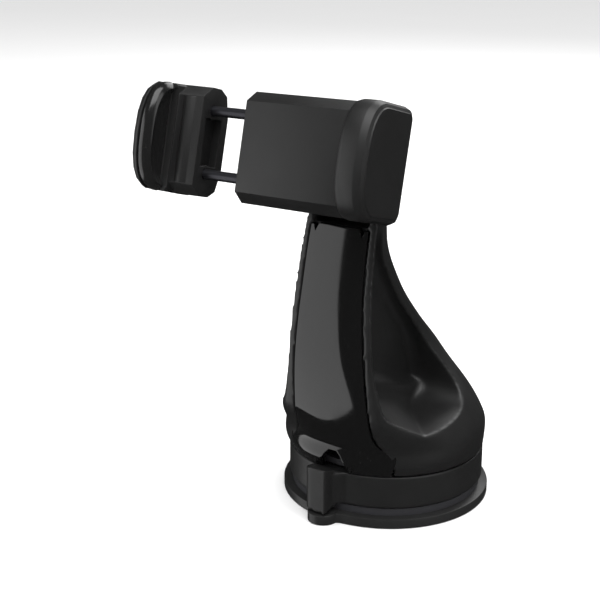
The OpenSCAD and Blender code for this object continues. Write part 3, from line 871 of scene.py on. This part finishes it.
class MOUNT_OT_twist_ring(bpy.types.Operator):
    """Models the twist ring with its thumb paddle"""

    bl_idname = "mount.twist_ring"
    bl_label = "Build Twist Ring"

    def execute(self, context):
        stand = context.scene.mount_stand
        bm = bmesh.new()
        profile = [
            (31.0, 7.0), (31.4, 6.62), (35.1, 6.62), (35.6, 6.8), (35.8, 7.3), (35.8, 18.0), (35.6, 18.45),
            (35.2, 18.58), (31.4, 18.58), (31.0, 18.2),
        ]
        columns = 240

        def reach(angle):
            """How far the ring's wall swells beside the paddle, in millimetres."""
            a = math.degrees(angle)
            if 0.2 <= a <= 7.4:
                k = (7.4 - a) / 7.2
                return 5.6 * k**2.6
            return 0.0

        def wall(i, j):
            a = 2 * math.pi * i / columns
            turn = a if a <= math.pi else a - 2 * math.pi
            r, z = profile[j % len(profile)]
            if r > 33:
                r += reach(turn)
            return Vector((r * math.sin(a), -r * math.cos(a), z))

        bent_grid(bm, columns, len(profile), wall)
        bmesh.ops.remove_doubles(bm, verts=bm.verts, dist=1e-6)
        bmesh.ops.recalc_face_normals(bm, faces=bm.faces)
        ring = loose_object("twist_ring_wall", bm)
        paddle_bm = bmesh.new()
        made = bmesh.ops.create_cube(paddle_bm, size=1)
        turn = Matrix.Rotation(math.radians(-5.5), 4, "Z")
        for v in made["verts"]:
            right, front, top = v.co.x > 0, v.co.y < 0, v.co.z > 0
            x = (4.75 if right else -4.75) if front else (4.9 if right else -5.8)
            y = -42.9 if front else -33.5
            if not front:
                z = 18.4 if top else 6.7
            else:
                z = (21.3 if right else 20.6) if top else 4.55
            v.co = Vector((x, y, z)) * MM
        flank = [
            e
            for e in paddle_bm.edges
            if all(v.co.x < 0 and v.co.y < -0.04 for v in e.verts)
        ]
        bmesh.ops.bevel(
            paddle_bm,
            geom=flank,
            offset=0.0032,
            offset_type="OFFSET",
            segments=6,
            profile=0.5,
            affect="EDGES",
            material=-1,
        )
        bmesh.ops.transform(paddle_bm, matrix=turn, verts=paddle_bm.verts)
        bmesh.ops.recalc_face_normals(paddle_bm, faces=paddle_bm.faces)
        paddle = loose_object("paddle", paddle_bm)
        plate_bm = bmesh.new()
        bar(plate_bm, (0, 0, 0), (0, 0, 6.6), 36.2, 128)
        cut(paddle, plate_bm)
        join = ring.modifiers.new("join", "BOOLEAN")
        join.operation = "UNION"
        join.solver = "EXACT"
        join.object = paddle
        applied(ring)
        bpy.data.objects.remove(paddle)
        fused(ring, stand.moulding_cell * 0.62, 5)
        finish_piece(ring, "ring", bpy.data.materials["matte_plastic"], ["twist_ring"])
        return {"FINISHED"}


class MOUNT_OT_gel_pad(bpy.types.Operator):
    """Models the gel pad with its pull tab and rounded rim"""

    bl_idname = "mount.gel_pad"
    bl_label = "Build Gel Pad"

    def execute(self, context):
        top, radius, tab, far = 3.65, 38.0, 5.35, 38.6
        bm = bmesh.new()
        columns = 720
        profile = [(0.35, 0.0), (0.0, 0.35), (0.0, 3.2), (0.12, 3.5), (0.42, 3.65)]

        def edge_of(angle):
            """The pad's outline: a disc, a round tab and a fillet between them."""
            d = angle - math.radians(-4.6)
            d = (d + math.pi) % (2 * math.pi) - math.pi
            across = far * math.sin(d)
            out = radius
            if abs(across) < tab:
                out = max(out, far * math.cos(d) + math.sqrt(tab**2 - across**2))
            reach = abs(math.degrees(d))
            if 4.0 < reach < 14.0:
                k = (14.0 - reach) / 10.0
                out = max(out, radius + 4.2 * k**3.2)
            return out

        def side(i, j):
            a = 2 * math.pi * i / columns
            back, z = profile[j]
            r = edge_of(a) - back
            return Vector((r * math.sin(a), -r * math.cos(a), z))

        bent_grid(bm, columns, len(profile) - 1, side)
        bmesh.ops.remove_doubles(bm, verts=bm.verts, dist=1e-6)
        rims = [e for e in bm.edges if len(e.link_faces) == 1]
        upper = [e for e in rims if e.verts[0].co.z > 0.002]
        lower = [e for e in rims if e.verts[0].co.z <= 0.002]
        bmesh.ops.holes_fill(bm, edges=lower, sides=0)
        # the top runs in to the recess under the foot's centre
        drawn = bmesh.ops.extrude_edge_only(bm, edges=upper)
        for v in drawn["geom"]:
            if isinstance(v, bmesh.types.BMVert):
                flat = Vector((v.co.x, v.co.y, 0)).normalized()
                v.co = flat * 0.0124 + Vector((0, 0, top * MM))
        low = [e for e in bm.edges if len(e.link_faces) == 1]
        drawn = bmesh.ops.extrude_edge_only(bm, edges=low)
        for v in drawn["geom"]:
            if isinstance(v, bmesh.types.BMVert):
                v.co.z = 1.0 * MM
        bmesh.ops.remove_doubles(bm, verts=bm.verts, dist=1e-7)
        rims = [e for e in bm.edges if len(e.link_faces) == 1]
        bmesh.ops.holes_fill(bm, edges=rims, sides=0)
        bmesh.ops.recalc_face_normals(bm, faces=bm.faces)
        pad = loose_object("gel_disc", bm)
        finish_piece(pad, "stand", bpy.data.materials["sticky_gel"], ["gel_pad"], 40)
        return {"FINISHED"}


class MOUNT_OT_clamp_block(bpy.types.Operator):
    """Rounds the edges of the clamp block's front and rear halves"""

    bl_idname = "mount.clamp_block"
    bl_label = "Build Clamp Block"

    def execute(self, context):
        radius = context.scene.mount_clamp.edge_radius
        for node in ("clamp_front", "clamp_rear"):
            bm = merged_copy(node)
            soften(bm, radius, 25, 3)
            half = loose_object(node + "_shell", bm)
            finish_piece(half, "clamp", bpy.data.materials["matte_plastic"], [node], 30)
        return {"FINISHED"}


def jaw_outline(inset):
    """A jaw plate's bowed outline as depth and height pairs, set in from its edge."""
    radius = max(JAW_CORNER_LEAST, JAW_CORNER - inset / 2)
    back, front, half = JAW_BACK - inset, JAW_FRONT - inset, JAW_HALF - inset
    points = []
    for k in range(9):
        a = math.radians(90 * k / 8)
        points.append((back - radius + radius * math.cos(a), half - radius + radius * math.sin(a)))
    for k in range(JAW_BOW_STEPS + 1):
        t = math.radians(JAW_BOW_TURN - 2 * JAW_BOW_TURN / JAW_BOW_STEPS * k)
        bow = abs(math.sin(t)) ** JAW_BOW
        points.append((0.5 - front * math.cos(t) ** JAW_BOW, half * math.copysign(bow, t)))
    for k in range(9):
        a = math.radians(270 + 90 * k / 8)
        points.append((back - radius + radius * math.cos(a), radius - half + radius * math.sin(a)))
    return points


def clamp_frame():
    """Turns a place measured from the middle of the clamp's face into the frame's own."""
    return Matrix.Translation(FACE_CENTRE * MM) @ Matrix.Rotation(-LEAN, 4, "X")


def jaw_form(stations):
    """A closed jaw body through pairs of a place across the clamp and an inset there."""
    bm = bmesh.new()
    loops = [[Vector((u, y, z)) for y, z in jaw_outline(inset)] for u, inset in stations]
    count = len(loops[0])
    bent_grid(bm, count, len(loops) - 1, lambda i, j: loops[j][i % count])
    close_skin(bm)
    bmesh.ops.transform(bm, matrix=clamp_frame(), verts=bm.verts)
    return bm


def clamp_block_form(low, high):
    """A box between two corners measured from the middle of the clamp's face."""
    bm = bmesh.new()
    block(bm, low, high)
    bmesh.ops.transform(bm, matrix=clamp_frame(), verts=bm.verts)
    return bm


class MOUNT_OT_jaws(bpy.types.Operator):
    """Models the fixed and the sliding jaw with their soft pads"""

    bl_idname = "mount.jaws"
    bl_label = "Build Jaws"

    def execute(self, context):
        radius = context.scene.mount_clamp.jaw_radius / MM
        finishes = bpy.data.materials
        fixed = loose_object(
            "fixed_jaw_shell",
            jaw_form([
                (13.8, 0.7), (14.2, 0.35), (15.4, 0), (20.3, 0), (20.7, 0.05), (22.7, 0.97),
                (23.7 - radius * 0.5, 2.05), (23.66, 2.3), (23.7, 2.7),
            ]),
        )
        pocket = loose_object("pocket", jaw_form([(12.9, 1.55), (16.55, 1.55)]))
        cut(pocket, clamp_block_form((10, -0.45, -30), (20, 30, 30)))
        pocket_bm = bmesh.new()
        pocket_bm.from_mesh(pocket.data)
        bpy.data.objects.remove(pocket)
        cut(fixed, pocket_bm)
        finish_piece(fixed, "clamp", finishes["matte_plastic"], ["fixed_jaw"], 30)
        bm = merged_copy("fixed_jaw_pad")
        soften(bm, 0.0003, 25, 4)
        pad = loose_object("fixed_jaw_pad_shell", bm)
        finish_piece(pad, "clamp", finishes["soft_pad"], ["fixed_jaw_pad"], 35)
        sliding = loose_object("sliding_jaw_shell", merged_copy("sliding_jaw"))
        cut(sliding, clamp_block_form((-65, -30, -30), (-57, -0.9, 30)))
        bm = bmesh.new()
        bm.from_mesh(sliding.data)
        bmesh.ops.remove_doubles(bm, verts=bm.verts, dist=1e-6)
        soften(bm, radius * MM * 0.4, 30, 3)
        bm.to_mesh(sliding.data)
        bm.free()
        finish_piece(sliding, "slider", finishes["matte_plastic"], ["sliding_jaw"], 35)
        # the lip stands forward of the pad's dished floor
        lip = loose_object(
            "sliding_jaw_pad_shell",
            jaw_form([
                (-64.9, 1.1), (-64.7, 0.6), (-64.1, 0.25), (-62.8, 0.2), (-62, 0.45), (-60.9, 1.4),
                (-60.4, 2.2), (-60.7, 2.9), (-61.8, 4.2), (-61.9, 6),
            ]),
        )
        cut(lip, clamp_block_form((-70, -1, -30), (-50, 30, 30)))
        finish_piece(lip, "slider", finishes["polished_lip"], ["sliding_jaw_pad"], 40)
        return {"FINISHED"}


class MOUNT_OT_studio(bpy.types.Operator):
    """Makes the pale floor, the soft lights and the camera"""

    bl_idname = "mount.studio"
    bl_label = "Build Studio"

    def execute(self, context):
        scene = context.scene
        bm = bmesh.new()
        bmesh.ops.create_grid(bm, x_segments=8, y_segments=8, size=14)
        floor = loose_object("floor", bm)
        for v in floor.data.vertices:
            v.co.z = -0.00002
        material, tree, shader = new_finish("pale_floor")
        where = add(tree, "ShaderNodeTexCoord").outputs["Object"]
        pale = list(scene.mount_finish.floor_colour)
        shaded(tree, noise(tree, where, 6, 3).outputs["Fac"], shader, [c * 0.985 for c in pale], pale)
        shader.inputs["Roughness"].default_value = 0.9
        shader.inputs["Specular IOR Level"].default_value = 0.1
        floor.data.materials.append(material)
        floor.visible_glossy = False

        def softbox(name, where, aim, wide, high, power):
            light = bpy.data.lights.new(name, "AREA")
            light.shape = "RECTANGLE"
            light.size = wide
            light.size_y = high
            light.energy = power
            made = bpy.data.objects.new(name, light)
            made.location = where
            made.rotation_euler = (Vector(aim) - Vector(where)).to_track_quat("-Z", "Y").to_euler()
            scene.collection.objects.link(made)
            return made

        def away(azimuth, elevation, distance):
            a, e = math.radians(azimuth), math.radians(elevation)
            back = Vector((math.sin(a) * math.cos(e), -math.cos(a) * math.cos(e), math.sin(e)))
            return Vector((0, 0, 0.07)) + back * distance

        centre = (0, -0.02, 0.07)
        softbox("left_panel", away(-52, -8, 1.1), centre, 1.15, 1.3, 7.2)
        softbox("top_panel", away(30, 68, 1.3), centre, 1.2, 1.2, 18)
        softbox("right_panel", away(84, 28, 1.4), centre, 0.7, 1.2, 4)
        softbox("back_panel", away(180, 40, 1.4), centre, 1.2, 0.8, 10)

        world = bpy.data.worlds.new("surround")
        world.use_nodes = True
        scene.world = world
        tree = world.node_tree
        soft = tree.nodes["Background"]
        soft.inputs["Color"].default_value = (1, 1, 1, 1)
        soft.inputs["Strength"].default_value = 0.85
        mirrored = add(tree, "ShaderNodeBackground", Color=(1, 1, 1, 1), Strength=0.045)
        path = tree.nodes.new("ShaderNodeLightPath")
        mix = tree.nodes.new("ShaderNodeMixShader")
        tree.links.new(path.outputs["Is Glossy Ray"], mix.inputs["Fac"])
        tree.links.new(soft.outputs[0], mix.inputs[1])
        tree.links.new(mirrored.outputs[0], mix.inputs[2])
        tree.links.new(mix.outputs[0], tree.nodes["World Output"].inputs["Surface"])

        scene.view_settings.view_transform = "Standard"
        lens = bpy.data.cameras.new("camera")
        lens.sensor_width = 36
        lens.lens = 1223 / 600 * 36
        lens.clip_start, lens.clip_end = 0.01, 20
        camera = bpy.data.objects.new("camera", lens)
        scene.collection.objects.link(camera)
        a, e = math.radians(34), math.radians(17.15)
        back = Vector((math.sin(a) * math.cos(e), -math.cos(a) * math.cos(e), math.sin(e)))
        camera.location = (0.20903, -0.36730, 0.20194)
        camera.rotation_euler = (-back).to_track_quat("-Z", "Y").to_euler()
        scene.camera = camera
        return {"FINISHED"}


class MOUNT_PT_panel(bpy.types.Panel):
    """Sizes, finishes and the steps that build the phone mount"""

    bl_idname = "MOUNT_PT_panel"
    bl_label = "Phone Mount"
    bl_space_type = "VIEW_3D"
    bl_region_type = "UI"
    bl_category = "Phone Mount"

    def draw(self, context):
        layout = self.layout
        for name in ("mount_stand", "mount_clamp", "mount_finish"):
            settings = getattr(context.scene, name)
            box = layout.box()
            for key in settings.bl_rna.properties.keys():
                if key not in ("rna_type", "name"):
                    box.prop(settings, key)
        for step_name in STEPS:
            layout.operator("mount." + step_name)


SETTINGS = {
    "mount_stand": MountStandSettings,
    "mount_clamp": MountClampSettings,
    "mount_finish": MountFinishSettings,
}
STEPS = ("finishes", "gel_pad", "twist_ring", "arm", "cover", "clamp_block", "jaws", "studio")
CLASSES = (
    MountStandSettings,
    MountClampSettings,
    MountFinishSettings,
    MOUNT_OT_finishes,
    MOUNT_OT_gel_pad,
    MOUNT_OT_twist_ring,
    MOUNT_OT_arm,
    MOUNT_OT_cover,
    MOUNT_OT_clamp_block,
    MOUNT_OT_jaws,
    MOUNT_OT_studio,
    MOUNT_PT_panel,
)


def register():
    for cls in CLASSES:
        bpy.utils.register_class(cls)
    for name, kind in SETTINGS.items():
        setattr(bpy.types.Scene, name, bpy.props.PointerProperty(type=kind))


def unregister():
    for name in SETTINGS:
        delattr(bpy.types.Scene, name)
    for cls in reversed(CLASSES):
        bpy.utils.unregister_class(cls)


def main():
    for leftover in list(bpy.data.objects):
        if leftover.type in ("CAMERA", "LIGHT") or leftover.name == "Cube":
            bpy.data.objects.remove(leftover)
    register()
    for step_name in STEPS:
        getattr(bpy.ops.mount, step_name)()


if __name__ == "__main__":
    main()
